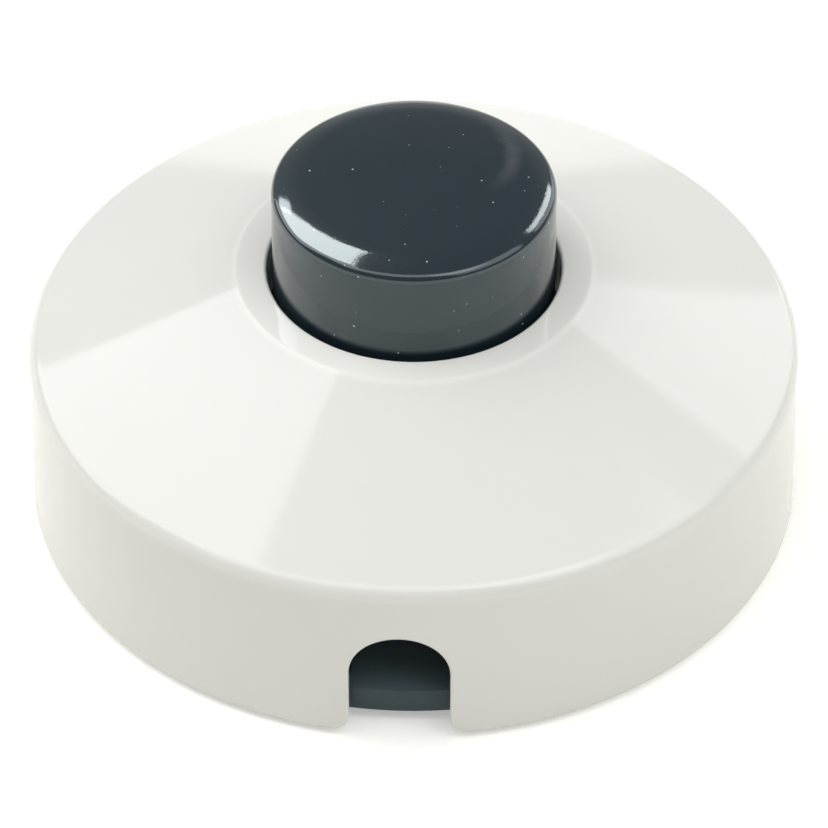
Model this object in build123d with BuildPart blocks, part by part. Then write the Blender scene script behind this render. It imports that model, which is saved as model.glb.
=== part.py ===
from build123d import *

import os
from math import cos, radians, sin, sqrt, tan

# Round in-line foot switch for a lamp cord. A white domed cover stands over a dark base on four
# rubber feet. A dark push button comes up through the cover and works a ratchet rotor that
# carries the contact bridge. Millimetres, +Z up, origin on the floor under the middle, with the
# two cord entries on -Y (front) and +Y (rear).

# Cover
foot_standoff = 0.5  # the feet hold the cover's rim this far off the floor
cover_radius = 36.0
cover_draft = 1.0  # degrees, the wall opens towards the rim
cover_wall = 2.0
shoulder_height = 17.0  # above the rim, where wall and cone would meet
land_height = 25.5  # above the rim, flat ring round the button
land_width = 2.8
shoulder_round = 1.7
land_round = 0.8
rim_round = 0.6
hole_edge_round = 0.35
guide_length = 6.0  # sleeve under the land that guides the button
guide_wall = 1.6
rib_count = 6
rib_thickness = 1.2
rib_depth = 2.4

# Cord entries
entry_width = 9.1
entry_height = 11.8  # crown of the arch above the rim
entry_corner_round = 2.0

# Push button
button_radius = 13.0
button_gap = 0.55  # between the button and the cover's hole
button_rise = 9.0  # where the button's side and top would meet, above the land
button_middle_radius = 10.0  # gently domed middle of the button's top
button_middle_drop = 0.5
button_band_drop = 0.9  # over the steeper band round that middle
button_edge_round = 0.8
button_wall = 1.8
button_top = 1.4  # from the meeting of side and top down to the ceiling
button_travel = 4.0
flange_width = 1.4
flange_thickness = 1.6
stop_gap = 0.15  # between the button's flange and the guide sleeve at rest
stem_radius = 4.4

# Base
base_clearance = 0.4  # between the base and the cover's wall
base_setback = 0.5  # the base's underside above the cover's rim
floor_thickness = 2.0
sill_height = 1.0  # rim and cord sill above the base's floor
base_rim_width = 1.8
base_edge_chamfer = 0.5

# Rubber feet
foot_count = 4
foot_angle = 45.0
foot_radius = 4.0
foot_pocket_depth = 0.8
foot_pocket_gap = 0.15
foot_edge_distance = 8.6  # from the base's edge to the foot's middle
foot_edge_chamfer = 0.4

# Screws
slot_width = 0.8
slot_depth = 0.9
thread_gap = 0.03  # between a plain shank and its hole
thread_end_gap = 1.0  # left below a screw's end
clearance_hole_gap = 0.3
small_screw_shank = 1.2
small_screw_head = 2.4
small_screw_head_height = 1.6
cover_screw_shank = 1.3
cover_screw_head = 2.7
cover_screw_head_height = 1.6
cover_screw_length = 12.0
cover_screw_edge_distance = 5.2
cover_screw_pad_height = 2.0
cover_boss_radius = 3.0
counterbore_gap = 0.25
counterbore_depth = 2.2

# Axle and contacts
axle_radius = 1.5
axle_boss_radius = 2.6
axle_boss_height = 1.2
axle_seat_depth = 1.4
axle_reach = 4.5  # into the plunger at rest
running_gap = 0.08
contact_strip_width = 5.0
contact_strip_thickness = 0.8
contact_place = 6.0  # from the axis to each contact point
rivet_radius = 1.6
rivet_height = 0.55
contact_gap = 0.15
bridge_length = 15.5
bridge_width = 4.4
bridge_thickness = 0.6
bridge_hole_radius = 2.0
dimple_radius = 1.0
dimple_depth = 0.4
dimple_taper = 25.0

# Springs
spring_wire_sides = 6  # round wire, kept to few faces
spring_seat_gap = 0.05
contact_spring_height = 2.5
contact_spring_radius = 4.0
contact_spring_wire = 0.3
contact_spring_turns = 3
return_spring_wire = 0.6
return_spring_turns = 5.5

# Ratchet: the button's travel down one ramp turns the rotor by half a step
tooth_count = 4
ramp_angle = 45.0
ramp_sections = 4
ramp_lead_in = 5.0  # degrees of ramp already under the plunger's teeth at rest
ramp_gap = 0.25
tooth_root = 0.6
drive_inner_radius = 3.2
drive_outer_radius = 6.6
rotor_radius = 8.5
rotor_disc = 1.9
rotor_tooth_radius = 8.3
rotor_hub_radius = 3.0
rotor_hub_height = 1.6
lug_length = 2.5
lug_width = 1.2
lug_height = 3.0
lug_gap = 0.2
plunger_radius = 6.8
plunger_plate = 2.0
spigot_radius = 2.6
spigot_length = 6.0
spigot_gap = 0.05

# Mechanism housing
housing_wall = 1.4
housing_gap = 0.5  # round the rotor
housing_lid = 1.5
housing_throat_gap = 0.5
index_tooth_height = 2.2
index_tooth_gap = 0.3
index_tooth_setback = 0.2  # from the lid's hole to the index teeth
ear_angle = 45.0
ear_radius = 3.2
ear_thickness = 2.0
ear_distance = 13.3
ear_boss_height = 4.0
ear_boss_gap = 0.1

# Terminals
terminal_gap = 2.4  # from the mechanism's housing to the live terminals
terminal_width = 6.4
terminal_depth = 6.0
terminal_height = 7.5
terminal_edge_chamfer = 0.4
through_terminal_length = 13.0
terminal_spacing = 2.4  # from a live terminal to the through terminal beside it
wire_hole_radius = 1.6
wire_hole_height = 3.4
terminal_screw_pitch = 6.5
terminal_screw_head_height = 1.4
fence_wall = 1.2
fence_height = 1.5
fence_gap = 0.25
barrier_height = 8.0

# Cord clamps
clamp_distance = 20.5  # from the middle to each clamp
clamp_length = 20.5
clamp_width = 5.6
clamp_thickness = 2.6
clamp_end_round = 1.9
clamp_screw_spacing = 15.0
clamp_tower_height = 6.0
clamp_tower_radius = 2.7
clamp_tooth_height = 0.8
clamp_tooth_width = 1.0
clamp_tooth_pitch = 1.9
cheek_thickness = 1.2
cheek_height = 5.0
cheek_gap = 0.4

# Heights and radii that follow from the sizes above
overrun = 2.0  # a cut runs this far past what it cuts
rim_z = foot_standoff
shoulder_z = rim_z + shoulder_height
land_z = rim_z + land_height
hole_radius = button_radius + button_gap
land_radius = hole_radius + land_width
guide_z = land_z - guide_length
guide_radius = hole_radius + guide_wall
wall_lean = tan(radians(cover_draft))
shoulder_radius = cover_radius - shoulder_height * wall_lean
cone_slope = (land_z - shoulder_z) / (shoulder_radius - land_radius)
cone_drop = cover_wall * sqrt(1 + cone_slope**2)
base_z = rim_z + base_setback
floor_z = base_z + floor_thickness
sill_z = floor_z + sill_height
base_radius = cover_radius - cover_wall - base_clearance
cover_screw_x = base_radius - cover_screw_edge_distance
cover_boss_z = floor_z + cover_screw_pad_height
small_pilot_radius = small_screw_shank + thread_gap
button_edge_z = land_z + button_rise
button_ceiling_z = button_edge_z - button_top
flange_z = guide_z - stop_gap
strip_z = floor_z + contact_strip_thickness
rivet_top_z = strip_z + rivet_height
bridge_z = rivet_top_z + contact_gap + dimple_depth
bridge_top_z = bridge_z + bridge_thickness
rotor_z = bridge_top_z + contact_spring_height
rotor_top_z = rotor_z + rotor_disc
ramp_rise = button_travel
ramp_z = rotor_top_z + tooth_root
drive_ramp_z = ramp_z + ramp_rise * (1 - ramp_lead_in / ramp_angle) + ramp_gap
plunger_z = drive_ramp_z + ramp_rise + tooth_root
plunger_top_z = plunger_z + plunger_plate
axle_top_z = plunger_z + axle_reach
housing_bore = rotor_radius + housing_gap
housing_radius = housing_bore + housing_wall
housing_throat = plunger_radius + housing_throat_gap
index_ramp_z = ramp_z + ramp_rise + index_tooth_gap
housing_lid_z = index_ramp_z + index_tooth_height
housing_top_z = housing_lid_z + housing_lid
return_spring_radius = housing_throat + spring_seat_gap + 2 * return_spring_wire
ear_z = floor_z + ear_boss_height
clamp_z = floor_z + clamp_tower_height
live_terminal_x = housing_radius + terminal_gap + terminal_width / 2
through_terminal_y = (terminal_depth + through_terminal_length) / 2 + terminal_spacing

# Places of what repeats
ear_places = [
    (ear_distance * cos(radians(angle)), ear_distance * sin(radians(angle)))
    for angle in (ear_angle, ear_angle + 180)
]
through_places = [(side * live_terminal_x, -side * through_terminal_y) for side in (-1, 1)]


def underside_of_cone(radius):
    """Height of the cone's inner surface at a radius."""
    return shoulder_z + (shoulder_radius - radius) * cone_slope - cone_drop


def ramp_teeth(first_angle, root_z, face_z, rise_angle, inner_radius, outer_radius):
    """Ring of saw teeth whose faces are helical ramps, lofted between radial sections.

    Each face starts at face_z and climbs at the ratchet's lead. root_z lies inside the disc or
    lid that carries the teeth, below the faces or above them.
    """
    with BuildPart() as tooth:
        for section in range(ramp_sections + 1):
            turn = rise_angle * section / ramp_sections
            height = face_z + ramp_rise * turn / ramp_angle
            out_x = cos(radians(first_angle + turn))
            out_y = sin(radians(first_angle + turn))
            radial = Plane((0, 0, 0), x_dir=(out_x, out_y, 0), z_dir=(out_y, -out_x, 0))
            with BuildSketch(radial):
                with BuildLine():
                    Polyline(
                        (inner_radius - tooth_root, root_z),
                        (outer_radius + tooth_root, root_z),
                        (outer_radius + tooth_root, height),
                        (inner_radius - tooth_root, height),
                        close=True,
                    )
                make_face()
        loft(ruled=True)
        with BuildSketch():
            Circle(outer_radius)
            Circle(inner_radius, mode=Mode.SUBTRACT)
        extrude(amount=button_edge_z, mode=Mode.INTERSECT)
    with BuildPart() as ring:
        with PolarLocations(0, tooth_count):
            add(tooth.part)
    return ring.part


def slotted_screw(seat, head_radius, head_height, shank_radius, shank_length):
    """Slotted pan-head screw: head on the seat plane, shank going down through it."""
    with BuildPart(seat) as screw:
        Cylinder(head_radius, head_height, align=(Align.CENTER, Align.CENTER, Align.MIN))
        head_top = screw.faces().sort_by(Axis(seat.origin, seat.z_dir))[-1]
        chamfer(head_top.edges(), head_height / 4)
        Cylinder(shank_radius, shank_length, align=(Align.CENTER, Align.CENTER, Align.MAX))
        with Locations((0, 0, head_height)):
            Box(2 * head_radius + overrun, slot_width, 2 * slot_depth, mode=Mode.SUBTRACT)
    return screw.part


def coil_spring(bottom_z, top_z, mean_radius, wire_radius, turns):
    """Compression spring that stands between two heights."""
    height = top_z - bottom_z - 2 * wire_radius - 2 * spring_seat_gap
    with BuildPart() as spring:
        with BuildLine():
            coil = Helix(
                pitch=height / turns,
                height=height,
                radius=mean_radius,
                center=(0, 0, bottom_z + wire_radius + spring_seat_gap),
            )
        with BuildSketch(Plane(origin=coil @ 0, z_dir=coil % 0)):
            RegularPolygon(wire_radius, spring_wire_sides)
        sweep(is_frenet=True)
    return spring.part


os.makedirs("parts", exist_ok=True)

# Cover: the space under it, which leaves the screw bosses, the guide sleeve and the ribs standing
hollow_cone_z = shoulder_z + shoulder_radius * cone_slope - cone_drop
hollow_foot = cover_radius - cover_wall + rim_z * wall_lean
hollow_corner_z = (hollow_cone_z - hollow_foot * cone_slope) / (1 - wall_lean * cone_slope)
hollow_corner = hollow_foot - hollow_corner_z * wall_lean
land_underside_z = land_z - cover_wall
land_underside = (hollow_cone_z - land_underside_z) / cone_slope
rib_root = guide_radius - guide_wall / 2
with BuildPart() as cover_rib:
    with BuildSketch(Plane.XZ):
        with BuildLine():
            Polyline(
                (rib_root, land_z),
                (rib_root, underside_of_cone(guide_radius) - rib_depth),
                (hollow_corner, hollow_corner_z - rib_depth),
                (cover_radius, hollow_corner_z - rib_depth),
                (cover_radius, land_z),
                close=True,
            )
        make_face()
    extrude(amount=rib_thickness / 2, both=True)

with BuildPart() as cover_hollow:
    with BuildSketch(Plane.XZ) as hollow_profile:
        with BuildLine():
            Polyline(
                (0, rim_z - overrun),
                (hollow_foot - (rim_z - overrun) * wall_lean, rim_z - overrun),
                (hollow_corner, hollow_corner_z),
                (land_underside, land_underside_z),
                (guide_radius, land_underside_z),
                (guide_radius, guide_z),
                (0, guide_z),
                close=True,
            )
        make_face()
        inner_corner = (hollow_corner, hollow_corner_z)
        fillet(hollow_profile.vertices().sort_by_distance(inner_corner)[0], shoulder_round)
    revolve(axis=Axis.Z)
    with BuildSketch(Plane.XY.offset(cover_boss_z)):
        with Locations((cover_screw_x, 0), (-cover_screw_x, 0)):
            Circle(cover_boss_radius)
    extrude(amount=land_z - cover_boss_z, mode=Mode.SUBTRACT)
    with PolarLocations(0, rib_count):
        add(cover_rib.part, mode=Mode.SUBTRACT)

with BuildPart() as cover:
    with BuildSketch(Plane.XZ) as cover_profile:
        with BuildLine():
            Polyline(
                (0, rim_z),
                (cover_radius, rim_z),
                (shoulder_radius, shoulder_z),
                (land_radius, land_z),
                (0, land_z),
                close=True,
            )
        make_face()
        for corner, size in (
            ((cover_radius, rim_z), rim_round),
            ((shoulder_radius, shoulder_z), shoulder_round),
            ((land_radius, land_z), land_round),
        ):
            fillet(cover_profile.vertices().sort_by_distance(corner)[0], size)
    revolve(axis=Axis.Z)
    add(cover_hollow.part, mode=Mode.SUBTRACT)
    with BuildSketch(Plane.XY.offset(land_z)):
        Circle(hole_radius)
    extrude(amount=-guide_length - overrun, mode=Mode.SUBTRACT)
    land_edges = cover.edges().filter_by(GeomType.CIRCLE).filter_by_position(Axis.Z, land_z, land_z)
    fillet(land_edges.sort_by(SortBy.RADIUS)[0], hole_edge_round)
    half_entry = entry_width / 2
    entry_foot = half_entry + entry_corner_round
    entry_corner_z = rim_z + entry_corner_round
    entry_arch_z = rim_z + entry_height - half_entry
    with BuildSketch(Plane.XZ):
        with BuildLine():
            Polyline((-entry_foot, rim_z), (-entry_foot, rim_z - overrun), (entry_foot, rim_z - overrun))
            Line((entry_foot, rim_z - overrun), (entry_foot, rim_z))
            RadiusArc((entry_foot, rim_z), (half_entry, entry_corner_z), entry_corner_round)
            Line((half_entry, entry_corner_z), (half_entry, entry_arch_z))
            RadiusArc((half_entry, entry_arch_z), (-half_entry, entry_arch_z), -half_entry)
            Line((-half_entry, entry_arch_z), (-half_entry, entry_corner_z))
            RadiusArc((-half_entry, entry_corner_z), (-entry_foot, rim_z), entry_corner_round)
        make_face()
    extrude(amount=cover_radius + overrun, both=True, mode=Mode.SUBTRACT)
    for side in (-1, 1):
        with Locations(Plane((side * cover_screw_x, 0, cover_boss_z), z_dir=(0, 0, -1))):
            Hole(cover_screw_shank + thread_gap, depth=cover_screw_length)
cover.part.label = "cover"
export_step(cover.part, "parts/cover.step")

# Base: a round tray with a raised rim, cord sills, clamp towers, bosses and terminal fences
sill_start = clamp_distance - clamp_width / 2
sill_length = base_radius - base_rim_width / 2 - sill_start
cheek_start = clamp_distance + clamp_width / 2 + cheek_gap
cheek_length = base_radius - base_rim_width / 2 - cheek_start
cheek_x = entry_width / 2 + cheek_gap + cheek_thickness / 2
foot_distance = base_radius - foot_edge_distance
with BuildPart() as base:
    with BuildSketch(Plane.XY.offset(base_z)):
        Circle(base_radius)
    extrude(amount=floor_thickness)
    with BuildSketch(Plane.XY.offset(floor_z)):
        Circle(base_radius)
        Circle(base_radius - base_rim_width, mode=Mode.SUBTRACT)
        with GridLocations(0, 2 * sill_start + sill_length, 1, 2):
            Rectangle(entry_width, sill_length)
    extrude(amount=sill_height)
    chamfer(base.edges().group_by(Axis.Z)[0], base_edge_chamfer)
    # Grip teeth under each clamp, the clamps' towers, and cheeks that lead the cord in
    with BuildSketch(Plane.XY.offset(sill_z)):
        with GridLocations(0, 2 * clamp_distance, 1, 2):
            with GridLocations(0, clamp_tooth_pitch, 1, 3):
                Rectangle(entry_width - 2 * cheek_gap, clamp_tooth_width)
    extrude(amount=clamp_tooth_height)
    with BuildSketch(Plane.XY.offset(floor_z)):
        with GridLocations(clamp_screw_spacing, 2 * clamp_distance, 2, 2):
            Circle(clamp_tower_radius)
    extrude(amount=clamp_tower_height)
    with BuildSketch(Plane.XY.offset(floor_z)):
        with GridLocations(2 * cheek_x, 2 * cheek_start + cheek_length, 2, 2):
            Rectangle(cheek_thickness, cheek_length)
    extrude(amount=cheek_height)
    # The axle's boss, the bosses under the housing's ears, and the pads over the cover's screws
    with BuildSketch(Plane.XY.offset(floor_z)):
        Circle(axle_boss_radius)
    extrude(amount=axle_boss_height)
    with BuildSketch(Plane.XY.offset(floor_z)):
        with Locations(*ear_places):
            Circle(ear_radius)
        Circle(housing_radius + ear_boss_gap, mode=Mode.SUBTRACT)
    extrude(amount=ear_boss_height)
    with BuildSketch(Plane.XY.offset(floor_z)):
        with GridLocations(2 * cover_screw_x, 0, 2, 1):
            Circle(cover_screw_edge_distance - base_rim_width / 2)
    extrude(amount=cover_screw_pad_height)
    # Fences round the through terminals, and a barrier beside each live terminal
    with BuildSketch(Plane.XY.offset(floor_z)):
        with Locations(*through_places):
            Rectangle(
                terminal_width + 2 * (fence_gap + fence_wall),
                through_terminal_length + 2 * (fence_gap + fence_wall),
            )
            Rectangle(
                terminal_width + 2 * fence_gap,
                through_terminal_length + 2 * fence_gap,
                mode=Mode.SUBTRACT,
            )
    extrude(amount=fence_height)
    barrier_y = (terminal_depth + terminal_spacing) / 2
    with BuildSketch(Plane.XY.offset(floor_z)):
        with Locations(*[(side * live_terminal_x, -side * barrier_y) for side in (-1, 1)]):
            Rectangle(terminal_width + 2 * fence_wall, fence_wall)
    extrude(amount=barrier_height)
    # Screw holes, the axle's seat, and the pockets for the feet
    with Locations((0, 0, floor_z + axle_boss_height)):
        Hole(axle_radius, depth=axle_boss_height + axle_seat_depth)
    with Locations((0, 0, clamp_z)):
        with GridLocations(clamp_screw_spacing, 2 * clamp_distance, 2, 2):
            Hole(small_pilot_radius, depth=clamp_tower_height)
    with Locations(*[(x, y, ear_z) for x, y in ear_places]):
        Hole(small_pilot_radius, depth=ear_boss_height)
    for side in (-1, 1):
        with Locations(Plane((side * cover_screw_x, 0, base_z), z_dir=(0, 0, -1))):
            CounterBoreHole(
                cover_screw_shank + clearance_hole_gap,
                cover_screw_head + counterbore_gap,
                counterbore_depth,
            )
    with BuildSketch(Plane.XY.offset(base_z)):
        with PolarLocations(foot_distance, foot_count, foot_angle):
            Circle(foot_radius + foot_pocket_gap)
    extrude(amount=foot_pocket_depth, mode=Mode.SUBTRACT)
base.part.label = "base"
export_step(base.part, "parts/base.step")

# Push button: a crowned cap with a stop flange and a hollow stem
button_middle_z = button_edge_z + button_band_drop
crown_z = button_middle_z + button_middle_drop
cap_bore = button_radius - button_wall
stem_bore = spigot_radius + spigot_gap
with BuildPart() as push_button:
    with BuildSketch(Plane.XZ) as button_profile:
        with BuildLine():
            middle_arc = ThreePointArc(
                (-button_middle_radius, button_middle_z),
                (0, crown_z),
                (button_middle_radius, button_middle_z),
            )
            TangentArc(middle_arc @ 1, (button_radius, button_edge_z), tangent=middle_arc % 1)
            Polyline(
                (button_radius, button_edge_z),
                (button_radius, flange_z),
                (button_radius + flange_width, flange_z),
                (button_radius + flange_width, flange_z - flange_thickness),
                (cap_bore, flange_z - flange_thickness),
                (cap_bore, button_ceiling_z),
                (stem_radius, button_ceiling_z),
                (stem_radius, plunger_top_z),
                (stem_bore, plunger_top_z),
                (stem_bore, button_ceiling_z),
                (-button_middle_radius, button_ceiling_z),
                (-button_middle_radius, button_middle_z),
            )
        make_face()
        split(bisect_by=Plane.YZ)
        top_edge = (button_radius, button_edge_z)
        fillet(button_profile.vertices().sort_by_distance(top_edge)[0], button_edge_round)
    revolve(axis=Axis.Z)
push_button.part.label = "push_button"
export_step(push_button.part, "parts/push_button.step")

# Plunger: pressed into the button's stem, slides on the axle, and drives the rotor with its ramps
drive_teeth = ramp_teeth(
    ramp_angle - ramp_lead_in,
    plunger_z + tooth_root,
    drive_ramp_z,
    ramp_angle,
    drive_inner_radius,
    drive_outer_radius,
)
with BuildPart() as plunger:
    with BuildSketch(Plane.XY.offset(plunger_z)):
        Circle(plunger_radius)
    extrude(amount=plunger_plate)
    with BuildSketch(Plane.XY.offset(plunger_top_z)):
        Circle(spigot_radius)
    extrude(amount=spigot_length)
    add(drive_teeth)
    with Locations((0, 0, plunger_top_z + spigot_length)):
        Hole(axle_radius + running_gap)
plunger.part.label = "plunger"
export_step(plunger.part, "parts/plunger.step")

# Rotor: ratchet ramps above, and lugs below that carry the contact bridge round
rotor_teeth = ramp_teeth(
    0,
    rotor_top_z - tooth_root,
    ramp_z,
    ramp_angle,
    drive_inner_radius,
    rotor_tooth_radius,
)
with BuildPart() as rotor:
    with BuildSketch(Plane.XY.offset(rotor_z)):
        Circle(rotor_radius)
    extrude(amount=rotor_disc)
    with BuildSketch(Plane.XY.offset(rotor_z)):
        Circle(rotor_hub_radius)
    extrude(amount=-rotor_hub_height)
    add(rotor_teeth)
    with BuildSketch(Plane.XY.offset(rotor_z)):
        with GridLocations(2 * contact_place, bridge_width + 2 * lug_gap + lug_width, 2, 2):
            Rectangle(lug_length, lug_width)
    extrude(amount=-lug_height)
    with Locations((0, 0, rotor_top_z)):
        Hole(axle_radius + running_gap)
rotor.part.label = "rotor"
export_step(rotor.part, "parts/rotor.step")

# Axle: a steel pin in the base that the rotor turns on and the plunger slides on
with BuildPart() as rotor_axle:
    with BuildSketch(Plane.XY.offset(floor_z - axle_seat_depth)):
        Circle(axle_radius)
    extrude(amount=axle_top_z - floor_z + axle_seat_depth)
    chamfer(rotor_axle.edges().group_by(Axis.Z)[-1], axle_radius / 4)
rotor_axle.part.label = "rotor_axle"
export_step(rotor_axle.part, "parts/rotor_axle.step")

# Contact bridge: a brass strip with two dimples that meet the fixed rivets
with BuildPart() as contact_bridge:
    with BuildSketch(Plane.XY.offset(bridge_z)):
        SlotOverall(bridge_length, bridge_width)
        Circle(bridge_hole_radius, mode=Mode.SUBTRACT)
    extrude(amount=bridge_thickness)
    with BuildSketch(Plane.XY.offset(bridge_z)):
        with GridLocations(2 * contact_place, 0, 2, 1):
            Circle(dimple_radius)
    extrude(amount=-dimple_depth, taper=dimple_taper)
contact_bridge.part.label = "contact_bridge"
export_step(contact_bridge.part, "parts/contact_bridge.step")

# Springs: one presses the bridge down, the other brings the button back
contact_spring = coil_spring(
    bridge_top_z, rotor_z, contact_spring_radius, contact_spring_wire, contact_spring_turns
)
contact_spring.label = "contact_spring"
export_step(contact_spring, "parts/contact_spring.step")
return_spring = coil_spring(
    housing_top_z, button_ceiling_z, return_spring_radius, return_spring_wire, return_spring_turns
)
return_spring.label = "return_spring"
export_step(return_spring, "parts/return_spring.step")

# Mechanism housing: a barrel round the rotor, with index teeth under its lid and two screw ears
index_teeth = ramp_teeth(
    ramp_angle,
    housing_lid_z + tooth_root,
    index_ramp_z,
    ramp_angle * (index_tooth_height + tooth_root / 2) / ramp_rise,
    housing_throat + index_tooth_setback,
    housing_bore + tooth_root,
)
with BuildPart() as mechanism_housing:
    with BuildSketch(Plane.XY.offset(floor_z)):
        Circle(housing_radius)
    extrude(amount=housing_top_z - floor_z)
    with BuildSketch(Plane.XY.offset(ear_z)):
        with Locations(*ear_places):
            Circle(ear_radius)
        Rectangle(2 * ear_distance, 2 * ear_radius, rotation=ear_angle)
    extrude(amount=ear_thickness)
    with BuildSketch(Plane.XY.offset(floor_z)):
        Circle(housing_bore)
    extrude(amount=housing_lid_z - floor_z, mode=Mode.SUBTRACT)
    with BuildSketch(Plane.XY.offset(housing_lid_z)):
        Circle(housing_throat)
    extrude(amount=housing_lid + overrun, mode=Mode.SUBTRACT)
    add(index_teeth)
    with BuildSketch(Plane.XY.offset(floor_z)):
        Rectangle(2 * housing_radius + overrun, contact_strip_width + 2 * clearance_hole_gap)
    extrude(amount=contact_strip_thickness + clearance_hole_gap, mode=Mode.SUBTRACT)
    with Locations(*[(x, y, ear_z + ear_thickness) for x, y in ear_places]):
        Hole(small_screw_shank + clearance_hole_gap, depth=ear_thickness)
mechanism_housing.part.label = "mechanism_housing"
export_step(mechanism_housing.part, "parts/mechanism_housing.step")

for number, (x, y) in enumerate(ear_places, 1):
    housing_screw = slotted_screw(
        Plane((x, y, ear_z + ear_thickness)),
        small_screw_head,
        small_screw_head_height,
        small_screw_shank,
        ear_thickness + ear_boss_height - thread_end_gap,
    )
    housing_screw.label = f"housing_screw_{number}"
    export_step(housing_screw, f"parts/housing_screw_{number}.step")

# Live contacts: a strip with a rivet inside the housing, and a seat for the terminal outside
strip_start = contact_place - rivet_radius - clearance_hole_gap
strip_end = live_terminal_x + terminal_width / 2
for name, side in (("live_contact_in", -1), ("live_contact_out", 1)):
    with BuildPart() as live_contact:
        with BuildSketch(Plane.XY.offset(floor_z)):
            with Locations((side * (strip_start + strip_end) / 2, 0)):
                Rectangle(strip_end - strip_start, contact_strip_width)
        extrude(amount=contact_strip_thickness)
        with BuildSketch(Plane.XY.offset(strip_z)):
            with Locations((side * contact_place, 0)):
                Circle(rivet_radius)
        extrude(amount=rivet_height)
    live_contact.part.label = name
    export_step(live_contact.part, f"parts/{name}.step")

# Terminals: brass blocks, drilled along the cord for the wires, with screws from above
for name, (x, y), seat_z, length, screw_count in (
    ("live_terminal_in", (-live_terminal_x, 0), strip_z, terminal_depth, 1),
    ("live_terminal_out", (live_terminal_x, 0), strip_z, terminal_depth, 1),
    ("neutral_terminal", through_places[0], floor_z, through_terminal_length, 2),
    ("earth_terminal", through_places[1], floor_z, through_terminal_length, 2),
):
    screw_plane = Plane((x, y, seat_z + terminal_height))
    screw_depth = terminal_height - wire_hole_height
    screw_places = GridLocations(0, terminal_screw_pitch, 1, screw_count).local_locations
    with BuildPart() as terminal:
        with BuildSketch(Plane.XY.offset(seat_z)):
            with Locations((x, y)):
                Rectangle(terminal_width, length)
        extrude(amount=terminal_height)
        chamfer(terminal.faces().sort_by(Axis.Z)[-1].edges(), terminal_edge_chamfer)
        with Locations(Plane((x, y - length / 2, seat_z + wire_hole_height), z_dir=(0, -1, 0))):
            Hole(wire_hole_radius, depth=length)
        with Locations(*[screw_plane * place for place in screw_places]):
            Hole(small_pilot_radius, depth=screw_depth)
    terminal.part.label = name
    export_step(terminal.part, f"parts/{name}.step")
    for number, place in enumerate(screw_places, 1):
        terminal_screw = slotted_screw(
            Plane(screw_plane * place),
            small_screw_head,
            terminal_screw_head_height,
            small_screw_shank,
            screw_depth - thread_gap,
        )
        terminal_screw.label = f"{name}_screw_{number}"
        export_step(terminal_screw, f"parts/{name}_screw_{number}.step")

# Cord clamps: a bar across each cord, held down on its two towers
for name, side in (("front", -1), ("rear", 1)):
    clamp_plane = Plane((0, side * clamp_distance, clamp_z))
    with BuildPart() as cord_clamp:
        with BuildSketch(clamp_plane):
            RectangleRounded(clamp_length, clamp_width, clamp_end_round)
            with GridLocations(clamp_screw_spacing, 0, 2, 1):
                Circle(small_screw_shank + clearance_hole_gap, mode=Mode.SUBTRACT)
        extrude(amount=clamp_thickness)
        with BuildSketch(clamp_plane):
            with GridLocations(0, clamp_tooth_pitch, 1, 2):
                Rectangle(entry_width - 2 * cheek_gap, clamp_tooth_width)
        extrude(amount=-clamp_tooth_height)
    cord_clamp.part.label = f"cord_clamp_{name}"
    export_step(cord_clamp.part, f"parts/cord_clamp_{name}.step")
    for hand, screw_x in (("left", -clamp_screw_spacing / 2), ("right", clamp_screw_spacing / 2)):
        clamp_screw = slotted_screw(
            Plane((screw_x, side * clamp_distance, clamp_z + clamp_thickness)),
            small_screw_head,
            small_screw_head_height,
            small_screw_shank,
            clamp_thickness + clamp_tower_height - thread_end_gap,
        )
        clamp_screw.label = f"clamp_screw_{name}_{hand}"
        export_step(clamp_screw, f"parts/clamp_screw_{name}_{hand}.step")

# Cover screws, up through the base into the cover's bosses
for name, side in (("cover_screw_left", -1), ("cover_screw_right", 1)):
    cover_screw = slotted_screw(
        Plane((side * cover_screw_x, 0, base_z + counterbore_depth), z_dir=(0, 0, -1)),
        cover_screw_head,
        cover_screw_head_height,
        cover_screw_shank,
        cover_screw_length,
    )
    cover_screw.label = name
    export_step(cover_screw, f"parts/{name}.step")

# Rubber feet, bonded into the pockets under the base
for number, place in enumerate(PolarLocations(foot_distance, foot_count, foot_angle), 1):
    with BuildPart() as rubber_foot:
        with BuildSketch():
            with Locations((place.position.X, place.position.Y)):
                Circle(foot_radius)
        extrude(amount=base_z + foot_pocket_depth)
        chamfer(rubber_foot.edges().group_by(Axis.Z)[0], foot_edge_chamfer)
    rubber_foot.part.label = f"rubber_foot_{number}"
    export_step(rubber_foot.part, f"parts/rubber_foot_{number}.step")
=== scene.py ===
import math
import bmesh
import bpy
import numpy as np
from mathutils import Matrix, Vector


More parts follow.
